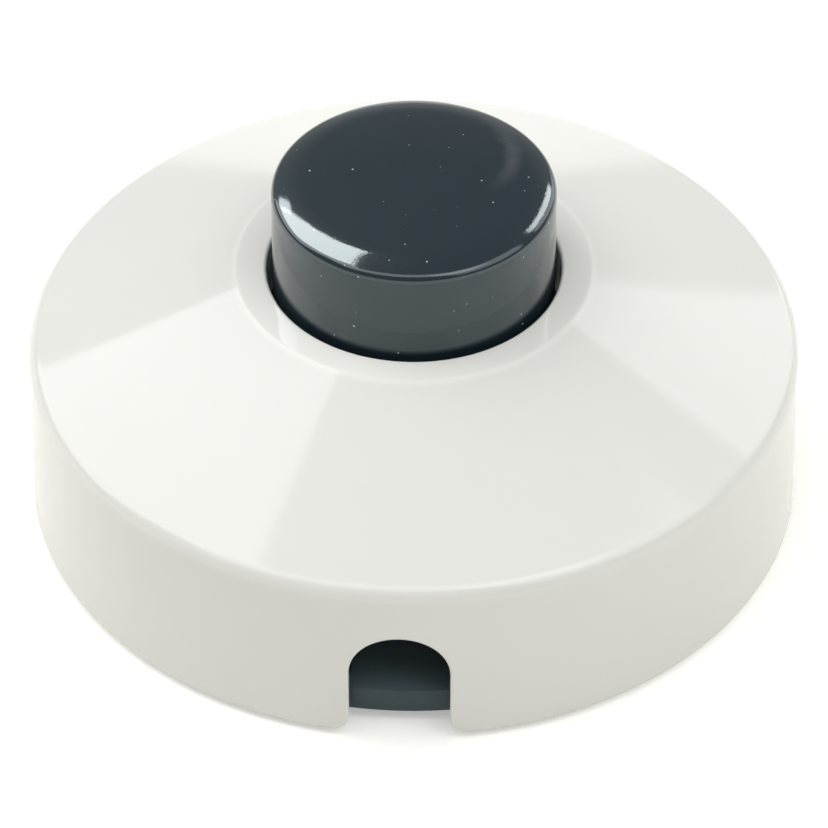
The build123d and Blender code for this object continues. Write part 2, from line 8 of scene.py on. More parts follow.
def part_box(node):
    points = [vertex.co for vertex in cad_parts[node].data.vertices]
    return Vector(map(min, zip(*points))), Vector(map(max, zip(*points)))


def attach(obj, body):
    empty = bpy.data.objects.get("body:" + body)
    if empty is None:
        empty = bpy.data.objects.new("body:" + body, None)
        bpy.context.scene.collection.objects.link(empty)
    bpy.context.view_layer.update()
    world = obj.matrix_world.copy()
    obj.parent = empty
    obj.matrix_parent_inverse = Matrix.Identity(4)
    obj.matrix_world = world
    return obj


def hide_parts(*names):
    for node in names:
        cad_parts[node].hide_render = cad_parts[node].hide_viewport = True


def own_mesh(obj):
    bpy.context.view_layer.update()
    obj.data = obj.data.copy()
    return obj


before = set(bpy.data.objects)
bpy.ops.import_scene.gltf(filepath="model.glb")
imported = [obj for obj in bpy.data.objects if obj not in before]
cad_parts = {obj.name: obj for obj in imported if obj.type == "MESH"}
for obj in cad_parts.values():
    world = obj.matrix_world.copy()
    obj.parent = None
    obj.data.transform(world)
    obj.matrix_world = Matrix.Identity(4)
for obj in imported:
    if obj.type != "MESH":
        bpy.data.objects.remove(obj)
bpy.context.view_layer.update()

bpy.context.scene.view_settings.view_transform = "Standard"
mm = 0.001

# Base: the dark moulded tray that everything inside stands on. One injection moulding with a raised
# rim, sills and towers for the cord clamps, and pockets underneath for the feet. Its shape is the
# frame's own, so it only gets soft moulded edges, its plastic, and painted light on its sills: a paler
# tone that lifts the shade the cover casts into the cord entries.


def add_node(tree, kind, inputs=(), **settings):
    """Adds a node. inputs maps a socket to a value, or to the output of another node that feeds it."""
    new = tree.nodes.new(kind)
    for name, value in settings.items():
        setattr(new, name, value)
    for socket, value in dict(inputs).items():
        if isinstance(value, bpy.types.NodeSocket):
            tree.links.new(value, new.inputs[socket])
        else:
            new.inputs[socket].default_value = value
    return new


def effect_group(name, inputs, outputs):
    """Empty shader node group with float inputs, given as name and usual value, and named outputs."""
    tree = bpy.data.node_groups.new(name, "ShaderNodeTree")
    for socket, value in inputs.items():
        new = tree.interface.new_socket(socket, in_out="INPUT", socket_type="NodeSocketFloat")
        new.default_value = value
    for socket in outputs:
        tree.interface.new_socket(socket, in_out="OUTPUT", socket_type="NodeSocketFloat")
    return tree, tree.nodes.new("NodeGroupInput").outputs, tree.nodes.new("NodeGroupOutput").inputs


def orange_peel_group():
    """Faint waves that a polished mould leaves in plastic: broad noise for flow, finer noise for peel."""
    tree, given, made = effect_group(
        "orange_peel", {"Waves per metre": 900.0, "Flow share": 0.5}, ["Height"]
    )
    place = add_node(tree, "ShaderNodeTexCoord").outputs["Object"]
    peel = add_node(
        tree,
        "ShaderNodeTexNoise",
        {"Vector": place, "Scale": given["Waves per metre"], "Detail": 1.5, "Roughness": 0.45},
    )
    broad = add_node(
        tree, "ShaderNodeMath", {0: given["Waves per metre"], 1: 0.18}, operation="MULTIPLY"
    )
    flow = add_node(
        tree,
        "ShaderNodeTexNoise",
        {"Vector": place, "Scale": broad.outputs[0], "Detail": 1.0, "Roughness": 0.4},
    )
    mixed = add_node(
        tree,
        "ShaderNodeMix",
        {0: given["Flow share"], 2: peel.outputs["Fac"], 3: flow.outputs["Fac"]},
    )
    tree.links.new(mixed.outputs[0], made["Height"])
    return tree


def specks_group():
    """Sparse specks: a share of Voronoi cells shows a dot near its middle, with a soft edge."""
    tree, given, made = effect_group(
        "specks", {"Cells per metre": 500.0, "Share": 0.05, "Dot size": 0.18}, ["Mask"]
    )
    place = add_node(tree, "ShaderNodeTexCoord").outputs["Object"]
    cells = add_node(
        tree, "ShaderNodeTexVoronoi", {"Vector": place, "Scale": given["Cells per metre"]}
    )
    lot = add_node(tree, "ShaderNodeSeparateColor", {0: cells.outputs["Color"]})
    chosen = add_node(
        tree, "ShaderNodeMath", {0: lot.outputs[0], 1: given["Share"]}, operation="LESS_THAN"
    )
    sized = add_node(
        tree, "ShaderNodeMath", {0: given["Dot size"], 1: lot.outputs[1]}, operation="MULTIPLY"
    )
    dot = add_node(
        tree,
        "ShaderNodeMapRange",
        {"Value": cells.outputs["Distance"], "From Min": sized.outputs[0], "From Max": 0.0},
    )
    mask = add_node(
        tree, "ShaderNodeMath", {0: dot.outputs[0], 1: chosen.outputs[0]}, operation="MULTIPLY"
    )
    tree.links.new(mask.outputs[0], made["Mask"])
    return tree


def drift_group():
    """Slow drift between two values over a surface, as handling and uneven cooling leave it."""
    tree, given, made = effect_group(
        "drift", {"Patches per metre": 90.0, "Lowest": 0.1, "Highest": 0.2}, ["Value"]
    )
    place = add_node(tree, "ShaderNodeTexCoord").outputs["Object"]
    noise = add_node(
        tree,
        "ShaderNodeTexNoise",
        {"Vector": place, "Scale": given["Patches per metre"], "Detail": 3.0, "Roughness": 0.6},
    )
    value = add_node(
        tree,
        "ShaderNodeMapRange",
        {
            "Value": noise.outputs["Fac"],
            "From Min": 0.3,
            "From Max": 0.7,
            "To Min": given["Lowest"],
            "To Max": given["Highest"],
        },
    )
    tree.links.new(value.outputs[0], made["Value"])
    return tree


orange_peel = orange_peel_group()
specks = specks_group()
drift = drift_group()


def moulded_plastic(
    name, colour, shade, gloss, waves, peel_depth, dust, dust_cells, dust_share, dust_size
):
    """Injection-moulded plastic: a colour that drifts to a near shade, peel in its gloss, specks of dust."""
    material = bpy.data.materials.new(name)
    material.use_nodes = True
    tree = material.node_tree
    surface = tree.nodes["Principled BSDF"]
    tone = add_node(
        tree,
        "ShaderNodeGroup",
        node_tree=drift,
        inputs={"Patches per metre": 60.0, "Lowest": 0.0, "Highest": 1.0},
    )
    body = add_node(
        tree, "ShaderNodeMix", {0: tone.outputs[0], 6: (*colour, 1), 7: (*shade, 1)}, data_type="RGBA"
    )
    dots = add_node(
        tree,
        "ShaderNodeGroup",
        node_tree=specks,
        inputs={"Cells per metre": dust_cells, "Share": dust_share, "Dot size": dust_size},
    )
    dusted = add_node(
        tree,
        "ShaderNodeMix",
        {0: dots.outputs[0], 6: body.outputs[2], 7: (*dust, 1)},
        data_type="RGBA",
    )
    tree.links.new(dusted.outputs[2], surface.inputs["Base Color"])
    rough = add_node(
        tree,
        "ShaderNodeGroup",
        node_tree=drift,
        inputs={"Patches per metre": 140.0, "Lowest": gloss[0], "Highest": gloss[1]},
    )
    tree.links.new(rough.outputs[0], surface.inputs["Roughness"])
    peel = add_node(
        tree, "ShaderNodeGroup", node_tree=orange_peel, inputs={"Waves per metre": waves}
    )
    bump = add_node(
        tree,
        "ShaderNodeBump",
        {"Height": peel.outputs[0], "Distance": peel_depth, "Strength": 1.0},
    )
    tree.links.new(bump.outputs[0], surface.inputs["Normal"])
    surface.inputs["IOR"].default_value = 1.5
    return material


def soft_edge_nodes():
    """Geometry nodes that join a node's loose triangles and shade it smooth up to a 28 degree edge."""
    tree = bpy.data.node_groups.new("soft_edges", "GeometryNodeTree")
    tree.interface.new_socket("Geometry", in_out="INPUT", socket_type="NodeSocketGeometry")
    tree.interface.new_socket("Geometry", in_out="OUTPUT", socket_type="NodeSocketGeometry")
    loose = tree.nodes.new("NodeGroupInput").outputs[0]
    joined = add_node(tree, "GeometryNodeMergeByDistance", {"Geometry": loose, "Distance": 1e-6})
    edge = add_node(tree, "GeometryNodeInputMeshEdgeAngle")
    gentle = add_node(
        tree,
        "FunctionNodeCompare",
        {0: edge.outputs["Unsigned Angle"], 1: math.radians(28)},
        operation="LESS_THAN",
    )
    edges = add_node(
        tree,
        "GeometryNodeSetShadeSmooth",
        {"Geometry": joined.outputs[0], "Shade Smooth": gentle.outputs[0]},
        domain="EDGE",
    )
    faces = add_node(
        tree,
        "GeometryNodeSetShadeSmooth",
        {"Geometry": edges.outputs[0], "Shade Smooth": True},
        domain="FACE",
    )
    tree.links.new(faces.outputs[0], tree.nodes.new("NodeGroupOutput").inputs[0])
    return tree


soft_edges = soft_edge_nodes()


def dress(node_name, material, edge_round):
    """Gives a node of the frame its material and soft shading, and rounds its sharp edges."""
    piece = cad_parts[node_name]
    for slot in piece.material_slots:
        slot.material = material
    piece.modifiers.new("soft_edges", "NODES").node_group = soft_edges
    flat = piece.modifiers.new("flat_faces", "DECIMATE")
    flat.decimate_type = "DISSOLVE"
    flat.angle_limit = math.radians(0.5)
    edge = piece.modifiers.new("edge_round", "BEVEL")
    edge.width = edge_round
    edge.segments = 2
    edge.limit_method = "ANGLE"
    edge.angle_limit = math.radians(28)
    edge.harden_normals = True


def lay_over(material, mask, colour):
    """Mixes a colour over the material's own, by the share that a mask gives."""
    tree = material.node_tree
    surface_colour = tree.nodes["Principled BSDF"].inputs["Base Color"]
    mixed = add_node(
        tree,
        "ShaderNodeMix",
        {0: mask, 6: surface_colour.links[0].from_socket, 7: (*colour, 1)},
        data_type="RGBA",
    )
    tree.links.new(mixed.outputs[2], surface_colour)


def sills_painted_light(material):
    """Painted light on the two sills: a paler tone that lifts the shade inside the cord entries, on what
    faces up and lies further than sill_reach from the middle along Y. It grows inwards, from the wall's
    outer face to palest_at."""
    sill_reach = 25 * mm
    palest_at = 28 * mm
    outer_face = 36 * mm
    tree = material.node_tree
    place = add_node(tree, "ShaderNodeTexCoord")
    along = add_node(tree, "ShaderNodeSeparateXYZ", {0: place.outputs["Object"]}).outputs["Y"]
    reach = add_node(tree, "ShaderNodeMath", {0: along}, operation="ABSOLUTE").outputs[0]
    inwards = add_node(
        tree,
        "ShaderNodeMapRange",
        {"Value": reach, "From Min": outer_face, "From Max": palest_at, "To Min": 0.25},
    )
    facing = add_node(tree, "ShaderNodeSeparateXYZ", {0: place.outputs["Normal"]}).outputs["Z"]
    upward = add_node(tree, "ShaderNodeMapRange", {"Value": facing, "From Min": 0.5, "From Max": 0.95})
    beyond = add_node(tree, "ShaderNodeMath", {0: reach, 1: sill_reach}, operation="GREATER_THAN")
    painted_lift = add_node(
        tree, "ShaderNodeMath", {0: inwards.outputs[0], 1: upward.outputs[0]}, operation="MULTIPLY"
    )
    mask = add_node(
        tree, "ShaderNodeMath", {0: painted_lift.outputs[0], 1: beyond.outputs[0]}, operation="MULTIPLY"
    )
    # Painted light: a paler blue-grey laid over the shaded sills.
    lay_over(material, mask.outputs[0], (0.16, 0.22, 0.25))


base_plastic = moulded_plastic(
    name="base_plastic",
    colour=(0.045, 0.068, 0.082),
    shade=(0.050, 0.074, 0.088),
    gloss=(0.28, 0.42),
    waves=1400.0,
    peel_depth=0.004 * mm,
    dust=(0.35, 0.35, 0.33),
    dust_cells=420.0,
    dust_share=0.05,
    dust_size=0.10,
)
base_surface = base_plastic.node_tree.nodes["Principled BSDF"]
base_surface.inputs["Specular IOR Level"].default_value = 0.2
# Painted light on the sills, lifting the shade inside the cord entries.
sills_painted_light(base_plastic)
dress("base", base_plastic, 0.15 * mm)

# Live contacts, terminals and axle: brass strips and blocks stand in the base, cut from drawn bar,
# and a hardened steel pin is pressed into its boss. All keep the frame's own shape.


def tool_marks_group():
    """Marks of drawing or turning: noise stretched along one axis, fine across it."""
    tree, given, made = effect_group(
        "tool_marks", {"Marks per metre": 6000.0, "Stretch": 12.0}, ["Height"]
    )
    place = add_node(tree, "ShaderNodeTexCoord").outputs["Object"]
    across = add_node(
        tree, "ShaderNodeMath", {0: given["Marks per metre"], 1: given["Stretch"]}, operation="DIVIDE"
    )
    scale = add_node(
        tree,
        "ShaderNodeCombineXYZ",
        {0: across.outputs[0], 1: given["Marks per metre"], 2: given["Marks per metre"]},
    )
    stretched = add_node(
        tree, "ShaderNodeVectorMath", {0: place, 1: scale.outputs[0]}, operation="MULTIPLY"
    )
    marks = add_node(
        tree,
        "ShaderNodeTexNoise",
        {"Vector": stretched.outputs[0], "Scale": 1.0, "Detail": 2.0, "Roughness": 0.6},
    )
    tree.links.new(marks.outputs["Fac"], made["Height"])
    return tree


def thread_group():
    """Thread on a shank: a ridge wave up the axis, a full turn of it for each pitch, between two heights."""
    tree, given, made = effect_group(
        "thread", {"Pitch": 0.0007, "Lowest": 0.0, "Highest": 0.01}, ["Height"]
    )
    place = add_node(tree, "ShaderNodeTexCoord").outputs["Object"]
    height = add_node(tree, "ShaderNodeSeparateXYZ", {0: place}).outputs["Z"]
    turns = add_node(tree, "ShaderNodeMath", {0: height, 1: given["Pitch"]}, operation="DIVIDE")
    ridge = add_node(
        tree, "ShaderNodeMath", {0: turns.outputs[0], 1: 1.0}, operation="PINGPONG"
    )
    above = add_node(
        tree, "ShaderNodeMath", {0: height, 1: given["Lowest"]}, operation="GREATER_THAN"
    )
    below = add_node(
        tree, "ShaderNodeMath", {0: height, 1: given["Highest"]}, operation="LESS_THAN"
    )
    within = add_node(
        tree, "ShaderNodeMath", {0: above.outputs[0], 1: below.outputs[0]}, operation="MULTIPLY"
    )
    cut = add_node(
        tree, "ShaderNodeMath", {0: ridge.outputs[0], 1: within.outputs[0]}, operation="MULTIPLY"
    )
    tree.links.new(cut.outputs[0], made["Height"])
    return tree


tool_marks = tool_marks_group()
thread = thread_group()


def worked_metal(name, colour, tarnish, gloss, stretch, thread_range=None):
    """Metal with tool marks and a tarnish that drifts over it, and a thread where thread_range says."""
    material = bpy.data.materials.new(name)
    material.use_nodes = True
    tree = material.node_tree
    surface = tree.nodes["Principled BSDF"]
    surface.inputs["Metallic"].default_value = 1.0
    tone = add_node(
        tree,
        "ShaderNodeGroup",
        node_tree=drift,
        inputs={"Patches per metre": 260.0, "Lowest": 0.0, "Highest": 1.0},
    )
    body = add_node(
        tree,
        "ShaderNodeMix",
        {0: tone.outputs[0], 6: (*colour, 1), 7: (*tarnish, 1)},
        data_type="RGBA",
    )
    tree.links.new(body.outputs[2], surface.inputs["Base Color"])
    rough = add_node(
        tree,
        "ShaderNodeGroup",
        node_tree=drift,
        inputs={"Patches per metre": 500.0, "Lowest": gloss[0], "Highest": gloss[1]},
    )
    tree.links.new(rough.outputs[0], surface.inputs["Roughness"])
    marks = add_node(
        tree, "ShaderNodeGroup", node_tree=tool_marks, inputs={"Stretch": stretch}
    )
    bump = add_node(
        tree, "ShaderNodeBump", {"Height": marks.outputs[0], "Distance": 0.004 * mm}
    )
    if thread_range:
        ridges = add_node(
            tree,
            "ShaderNodeGroup",
            node_tree=thread,
            inputs={"Lowest": thread_range[0], "Highest": thread_range[1]},
        )
        bump = add_node(
            tree,
            "ShaderNodeBump",
            {"Height": ridges.outputs[0], "Distance": 0.12 * mm, "Normal": bump.outputs[0]},
        )
    tree.links.new(bump.outputs[0], surface.inputs["Normal"])
    return material


brass = worked_metal("brass", (0.80, 0.58, 0.26), (0.62, 0.42, 0.18), (0.22, 0.38), 14.0)
spring_steel = worked_metal("spring_steel", (0.56, 0.56, 0.55), (0.42, 0.41, 0.40), (0.2, 0.32), 1.0)
for node_name in (
    "live_contact_in",
    "live_contact_out",
    "live_terminal_in",
    "live_terminal_out",
    "neutral_terminal",
    "earth_terminal",
):
    dress(node_name, brass, 0.08 * mm)
dress("rotor_axle", spring_steel, 0.05 * mm)

# Contact bridge, rotor, plunger and mechanism housing: the ratchet. The bridge is pressed brass and the
# others are moulded in natural nylon, whose ramps turn the bridge as the button goes down.

nylon = moulded_plastic(
    name="nylon",
    colour=(0.66, 0.64, 0.56),
    shade=(0.70, 0.68, 0.61),
    gloss=(0.32, 0.46),
    waves=1100.0,
    peel_depth=0.006 * mm,
    dust=(0.25, 0.24, 0.22),
    dust_cells=500.0,
    dust_share=0.015,
    dust_size=0.10,
)
nylon_surface = nylon.node_tree.nodes["Principled BSDF"]
nylon_surface.inputs["Subsurface Weight"].default_value = 0.15
nylon_surface.inputs["Subsurface Scale"].default_value = 1.5 * mm
dress("contact_bridge", brass, 0.06 * mm)
dress("rotor", nylon, 0.08 * mm)
dress("plunger", nylon, 0.08 * mm)
dress("mechanism_housing", nylon, 0.12 * mm)

# Springs: cold-coiled steel wire with one closed turn at each end. The small one presses the bridge on
# its contacts, and the large one brings the button back up and shortens as it goes down.


def smooth_step(value):
    """0 below 0, 1 above 1, and an S curve between."""
    value = np.clip(value, 0, 1)
    return value * value * (3 - 2 * value)


def mesh_piece(name, grids, material, body):
    """Closed piece made of grids of points. Each grid's neighbours are joined by quads, its seams and
    poles are merged, and its faces are turned outwards."""
    points = []
    quads = []
    start = 0
    for grid in grids:
        rows, columns = grid.shape[:2]
        index = start + np.arange(rows * columns).reshape(rows, columns)
        quads.append(
            np.stack([index[:-1, :-1], index[:-1, 1:], index[1:, 1:], index[1:, :-1]], -1).reshape(-1, 4)
        )
        points.append(grid.reshape(-1, 3))
        start += rows * columns
    mesh = bpy.data.meshes.new(name)
    mesh.from_pydata(np.concatenate(points).tolist(), [], np.concatenate(quads).tolist())
    shell = bmesh.new()
    shell.from_mesh(mesh)
    bmesh.ops.remove_doubles(shell, verts=shell.verts, dist=1e-6)
    bmesh.ops.recalc_face_normals(shell, faces=shell.faces)
    shell.to_mesh(mesh)
    shell.free()
    mesh.shade_smooth()
    mesh.materials.append(material)
    piece = bpy.data.objects.new(name, mesh)
    bpy.context.scene.collection.objects.link(piece)
    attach(piece, body)
    return piece


def coiled_wire(low_z, high_z, coil_radius, wire_radius, turns):
    """Wire of round section along a helix. The pitch is one wire's width in the first and last turn, and
    grows smoothly to what the height needs between them. Rows follow the wire, columns go round it."""
    rows_per_turn = 56
    columns = 16
    closed_turn = 0.7
    turn = np.linspace(0, turns, int(turns * rows_per_turn) + 1)
    opened = smooth_step(turn - closed_turn) * smooth_step(turns - closed_turn - turn)
    closed = 2 * wire_radius * turn
    open_rise = high_z - low_z - 2 * wire_radius - closed[-1]
    height = low_z + wire_radius + closed + open_rise * np.cumsum(opened) / np.sum(opened)
    angle = 2 * np.pi * turn
    outward = np.stack([np.cos(angle), np.sin(angle), 0 * angle], -1)
    centre = coil_radius * outward + np.stack([0 * angle, 0 * angle, height], -1)
    along = np.gradient(centre, axis=0)
    along /= np.linalg.norm(along, axis=1, keepdims=True)
    upward = np.cross(outward, along)
    centre = np.concatenate([centre[:1], centre, centre[-1:]])
    outward = np.concatenate([outward[:1], outward, outward[-1:]])
    upward = np.concatenate([upward[:1], upward, upward[-1:]])
    radius = np.full(len(centre), wire_radius)
    radius[[0, -1]] = 0
    around = np.linspace(0, 2 * np.pi, columns + 1)
    ring = np.cos(around)[None, :, None] * outward[:, None] + np.sin(around)[None, :, None] * upward[:, None]
    return centre[:, None] + radius[:, None, None] * ring


contact_spring_height = 2.5 * mm
contact_coil_radius = 4.0 * mm
contact_wire_radius = 0.3 * mm
contact_turns = 3.4
bridge_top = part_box("contact_bridge")[1].z
rotor_disc = bridge_top + contact_spring_height
contact_spring = mesh_piece(
    "contact_spring_wire",
    [coiled_wire(bridge_top, rotor_disc, contact_coil_radius, contact_wire_radius, contact_turns)],
    spring_steel,
    "rotor",
)
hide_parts("contact_spring")

return_coil_radius = 8.55 * mm
return_wire_radius = 0.6 * mm
return_turns = 6.5
housing_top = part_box("mechanism_housing")[1].z
spring_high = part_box("return_spring")[1]
return_spring = mesh_piece(
    "return_spring_wire",
    [coiled_wire(housing_top, spring_high.z, return_coil_radius, return_wire_radius, return_turns)],
    spring_steel,
    "button",
)
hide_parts("return_spring")
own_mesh(return_spring)

# Push button: a deep cap moulded in glossy dark plastic, with a stem that the plunger is pressed into
# and a flange that stops it under the cover. Its top has a gentle crown inside a steeper band.


def rounded_profile(corners, spacing, arc_steps):
    """Outline through corners, each (radius from the axis, height, size of its round). Straight runs are
    divided finely near their ends and are joined by tangent arcs."""
    point = np.array([corner[:2] for corner in corners], float)
    size = np.array([corner[2] for corner in corners], float)
    outline = [point[:1]]
    for index in range(1, len(point) - 1):
        before = point[index - 1] - point[index]
        after = point[index + 1] - point[index]
        before /= np.linalg.norm(before)
        after /= np.linalg.norm(after)
        half_turn = np.arccos(np.clip(-before @ after, -1, 1)) / 2
        middle = (before + after) / max(np.linalg.norm(before + after), 1e-12)
        centre = point[index] + middle * size[index] / max(np.cos(half_turn), 1e-9)
        swing = np.linspace(-half_turn, half_turn, arc_steps if size[index] > 0 else 1)
        if size[index] > 0:
            side = (after - before) / np.linalg.norm(after - before)
            arc = centre + size[index] * (
                np.outer(np.sin(swing), side) - np.outer(np.cos(swing), middle)
            )
        else:
            arc = point[index : index + 1]
        outline.append(arc)
    outline.append(point[-1:])
    filled = [outline[0]]
    for start, arc in zip(outline[:-1], outline[1:]):
        run = arc[0] - start[-1]
        count = max(2, int(np.linalg.norm(run) / spacing) + 3)
        share = (1 - np.cos(np.linspace(0, np.pi, count))) / 2
        filled.append(start[-1] + share[1:-1, None] * run)
        filled.append(arc)
    return np.concatenate(filled)


def turned(profile, columns, middle=(0, 0)):
    """Surface of revolution: each profile point (r, z) goes round the axis at (r cos a, r sin a, z)."""
    angle = np.linspace(0, 2 * np.pi, columns + 1)
    radius, height = profile[:, :1], profile[:, 1:]
    return np.stack(
        [
            middle[0] + radius * np.cos(angle),
            middle[1] + radius * np.sin(angle),
            height + 0 * angle,
        ],
        -1,
    )


button_low, button_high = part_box("push_button")
crown_z = button_high.z
button_radius = 13.0 * mm
flange_radius = button_high.x
flange_z = button_low.z
flange_thickness = 1.6 * mm
middle_radius = 10.0 * mm
middle_drop = 0.5 * mm
band_drop = 0.9 * mm
button_edge_round = 0.8 * mm
ceiling_z = spring_high.z
cap_wall = 1.8 * mm
cap_bore = button_radius - cap_wall
stem_radius = 4.4 * mm
stem_bore = 2.65 * mm
spigot_length = 6.0 * mm
stem_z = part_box("plunger")[1].z - spigot_length
middle_slope = -2 * middle_drop / middle_radius
band_width = button_radius - middle_radius
band_curve = (-band_drop - middle_slope * band_width) / band_width**2
middle_r = np.linspace(0, middle_radius, 16)
band_end = band_width - 0.55 * mm
band_r = np.linspace(0, band_end, 12)[1:]
crown = [(r, crown_z - middle_drop * (r / middle_radius) ** 2, 0) for r in middle_r]
band = [
    (middle_radius + r, crown_z - middle_drop + middle_slope * r + band_curve * r**2, 0)
    for r in band_r
]
small_round = 0.2 * mm
button_profile = rounded_profile(
    crown
    + band
    + [
        (button_radius, crown_z - middle_drop - band_drop, button_edge_round),
        (button_radius, flange_z + flange_thickness, small_round),
        (flange_radius, flange_z + flange_thickness, small_round),
        (flange_radius, flange_z, small_round),
        (cap_bore, flange_z, small_round),
        (cap_bore, ceiling_z, small_round),
        (stem_radius, ceiling_z, small_round),
        (stem_radius, stem_z, small_round),
        (stem_bore, stem_z, small_round),
        (stem_bore, ceiling_z, small_round),
        (0, ceiling_z, 0),
    ],
    spacing=0.9 * mm,
    arc_steps=9,
)
# The cap's specks: pale bluish-white dots laid into its colour, in most of its millimetre cells.
button_plastic = moulded_plastic(
    name="button_plastic",
    colour=(0.003, 0.013, 0.021),
    shade=(0.004, 0.016, 0.026),
    gloss=(0.05, 0.08),
    waves=5200.0,
    peel_depth=0.007 * mm,
    dust=(0.75, 0.78, 0.78),
    dust_cells=1000.0,
    dust_share=0.6,
    dust_size=0.13,
)
button_surface = button_plastic.node_tree.nodes["Principled BSDF"]
button_surface.inputs["Specular IOR Level"].default_value = 0.9
button_surface.inputs["Specular Tint"].default_value = (0.88, 0.98, 1.0, 1)
button_surface.inputs["Coat Weight"].default_value = 0.2
button_surface.inputs["Coat Roughness"].default_value = 0.42


def painted_sheen(material):
    """Lays a faint painted reflection over the material's colour: a pale band along an arc on the back
    right of the top, standing in for the right softbox's sheen, whose edge wanders with a noise and which
    fades towards both ends of the arc."""
    arc_radius = 8.7 * mm
    half_band = 1.3 * mm
    strongest = 0.07
    tree = material.node_tree
    place = add_node(tree, "ShaderNodeTexCoord").outputs["Object"]
    noise = add_node(tree, "ShaderNodeTexNoise", {"Vector": place, "Scale": 260.0, "Detail": 3.0})
    wander = add_node(
        tree,
        "ShaderNodeVectorMath",
        {0: noise.outputs["Color"], 1: (2.4 * mm, 2.4 * mm, 0.0), 2: place},
        operation="MULTIPLY_ADD",
    )
    centred = add_node(
        tree,
        "ShaderNodeMapping",
        {"Vector": wander.outputs[0], "Location": (-1.4 * mm, -5.1 * mm, 0), "Scale": (1, 1, 0)},
    )
    reach = add_node(
        tree, "ShaderNodeVectorMath", {0: centred.outputs[0]}, operation="LENGTH"
    ).outputs["Value"]
    aside = add_node(tree, "ShaderNodeMath", {0: reach, 1: arc_radius}, operation="SUBTRACT")
    across = add_node(tree, "ShaderNodeMath", {0: aside.outputs[0]}, operation="ABSOLUTE")
    band = add_node(
        tree,
        "ShaderNodeMapRange",
        {"Value": across.outputs[0], "From Max": half_band, "To Min": 1.0, "To Max": 0.0},
        interpolation_type="SMOOTHSTEP",
    )
    part = add_node(tree, "ShaderNodeSeparateXYZ", {0: centred.outputs[0]})
    along = add_node(tree, "ShaderNodeMath", {0: part.outputs["Y"]}, operation="ABSOLUTE")
    fade = add_node(
        tree,
        "ShaderNodeMapRange",
        {
            "Value": along.outputs[0],
            "From Min": 1.5 * mm,
            "From Max": 6 * mm,
            "To Min": strongest,
            "To Max": 0.0,
        },
    )
    right = add_node(tree, "ShaderNodeMath", {0: part.outputs["X"], 1: 0.0}, operation="GREATER_THAN")
    faded = add_node(
        tree, "ShaderNodeMath", {0: band.outputs[0], 1: fade.outputs[0]}, operation="MULTIPLY"
    )
    mask = add_node(
        tree, "ShaderNodeMath", {0: faded.outputs[0], 1: right.outputs[0]}, operation="MULTIPLY"
    )
    # Painted reflection: a pale blue-grey laid over the dark cap.
    lay_over(material, mask.outputs[0], (0.55, 0.58, 0.62))


# Painted reflection of a softbox on the button's top, at its back right.
painted_sheen(button_plastic)
push_button = mesh_piece(
    "push_button_cap",
    [turned(button_profile, 288)],
    button_plastic,
    "button",
)
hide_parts("push_button")

# Cord clamps: moulded bars in the base's plastic, each held down on its two towers. They are screwed
# open for a cord, which lies on the sill under their teeth.

for node_name in ("cord_clamp_front", "cord_clamp_rear"):
    dress(node_name, base_plastic, 0.15 * mm)

# Screws: turned steel with a bright zinc finish, slotted pan heads, and a thread cut on each shank.

screw_groups = {
    "terminal_screw_steel": [
        "live_terminal_in_screw_1",
        "live_terminal_out_screw_1",
        "neutral_terminal_screw_1",
        "neutral_terminal_screw_2",
        "earth_terminal_screw_1",
        "earth_terminal_screw_2",
    ],
    "housing_screw_steel": ["housing_screw_1", "housing_screw_2"],
    "clamp_screw_steel": [
        "clamp_screw_front_left",
        "clamp_screw_front_right",
        "clamp_screw_rear_left",
        "clamp_screw_rear_right",
    ],
}
head_depth = 1.9 * mm
for finish, names in screw_groups.items():
    shank_low = min(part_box(name)[0].z for name in names)
    shank_high = min(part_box(name)[1].z for name in names) - head_depth
    steel = worked_metal(
        finish, (0.62, 0.63, 0.64), (0.50, 0.50, 0.49), (0.2, 0.34), 1.0, (shank_low, shank_high)
    )
    for name in names:
        dress(name, steel, 0.08 * mm)

# Cover: the white domed shell, one glossy injection moulding. Its wall opens by a degree towards the rim,
# an arched entry for the cord is cut in it front and rear, and six ribs and two screw bosses stand inside.

cover_low, cover_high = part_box("cover")
rim_z = cover_low.z
land_z = cover_high.z
cover_radius = 36.0 * mm
cover_wall = 2.0 * mm
wall_lean = math.tan(math.radians(1.0))
shoulder_height = 17.0 * mm
shoulder_z = rim_z + shoulder_height
shoulder_radius = cover_radius - shoulder_height * wall_lean
hole_radius = 13.55 * mm
land_width = 2.8 * mm
land_radius = hole_radius + land_width
cone_slope = (land_z - shoulder_z) / (shoulder_radius - land_radius)
cone_drop = cover_wall * math.hypot(1, cone_slope)
shoulder_round = 1.7 * mm
land_round = 0.8 * mm
hole_round = 0.35 * mm
rim_round = 0.6 * mm
entry_edge_round = 0.25 * mm
inner_edge_round = 0.15 * mm
guide_wall = 1.6 * mm
guide_length = 6.0 * mm
guide_radius = hole_radius + guide_wall
hollow_cone_z = shoulder_z + shoulder_radius * cone_slope - cone_drop
hollow_foot = cover_radius - cover_wall + rim_z * wall_lean
hollow_corner_z = (hollow_cone_z - hollow_foot * cone_slope) / (1 - wall_lean * cone_slope)
hollow_corner = (hollow_foot - hollow_corner_z * wall_lean, hollow_corner_z)
guide_z = land_z - guide_length
entry_half_width = 4.55 * mm
entry_height = 11.8 * mm
entry_corner = 2.0 * mm
entry_spring_z = rim_z + entry_height - entry_half_width
upper_z = rim_z + 14.0 * mm
columns_per_quarter = 120
entry_foot = entry_half_width + entry_corner
foot_angle = math.asin(entry_foot / cover_radius)
arch_length = entry_half_width * math.pi / 2
side_length = entry_spring_z - rim_z - entry_corner
corner_length = entry_corner * math.pi / 2
rim_length = cover_radius * (math.pi / 2 - foot_angle)


def wall_radius(height):
    """Outer radius of the cover's wall at a height."""
    return cover_radius - (height - rim_z) * wall_lean


